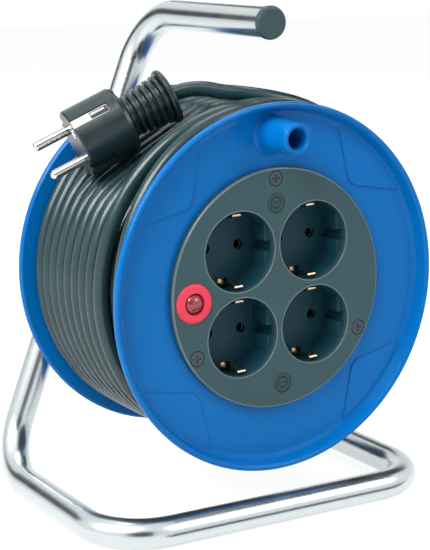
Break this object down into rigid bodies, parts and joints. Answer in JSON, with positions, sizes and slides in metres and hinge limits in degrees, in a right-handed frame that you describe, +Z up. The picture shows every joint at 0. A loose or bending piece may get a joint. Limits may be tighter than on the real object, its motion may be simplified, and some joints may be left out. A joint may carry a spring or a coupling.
{
  "type": "extension cord reel",
  "caption": "Cord reel with earthed sockets in its drum, on a stand bent from one tube, with a coiled cable whose plug hangs free.",
  "frame": {"origin": "centre of the bounding box's underside, on the floor", "axes": "+Z up, sockets face -Y, +X to the right as seen from the front"},
  "size_m": [0.1996, 0.1561, 0.2545],
  "materials": {
    "steel_tube": "gloss",
    "grey_plastic": "satin",
    "steel": "satin",
    "natural_plastic": "satin",
    "blue_plastic": "gloss",
    "dark_plastic": "satin",
    "brass": "satin",
    "black_plastic": "satin",
    "red_plastic": "gloss",
    "dark_red_plastic": "gloss",
    "black_cable": "satin",
    "nickel": "gloss"
  },
  "bodies": {
    "stand": {"frame_tube": "steel_tube", "handle_end_cap": "grey_plastic", "stop_ring": "steel", "stop_ring_screw": "steel", "axle_end_plug": "grey_plastic", "axle_washer": "steel", "axle_screw": "steel"},
    "drum": {"front_flange": "blue_plastic", "rear_flange": "blue_plastic", "rear_bush": "natural_plastic", "front_bush": "natural_plastic", "drum_screws": "steel", "socket_plate": "dark_plastic", "plate_screws": "steel", "live_contacts": "brass", "neutral_contacts": "brass", "earth_contacts": "brass", "socket_back_cover": "black_plastic", "cover_screws": "steel", "cutout_body": "black_plastic", "cutout_ring": "red_plastic", "reset_spring": "steel", "inlet_grommet": "black_cable", "supply_lead": "black_cable", "lead_clamp": "black_plastic", "clamp_screws": "steel", "cable_core": "black_cable", "cable_winding": "black_cable", "cable_tail": "black_cable", "plug_body": "black_plastic", "plug_grip": "black_plastic", "plug_pins": "nickel", "plug_earth_strips": "nickel"},
    "button": {"reset_button": "dark_red_plastic"}
  },
  "joints": [
    {"name": "drum_spin", "type": "hinge", "parent": "stand", "child": "drum", "pos_m": [0.0012, 0.0126, 0.1185], "axis": [0, 1, 0], "continuous": true},
    {"name": "reset_press", "type": "slide", "parent": "drum", "child": "button", "axis": [0, 1, 0], "range_m": [0, 0.002], "stiffness_N_per_m": 600, "springref_m": -0.002, "deforming": ["reset_spring"]}
  ]
}
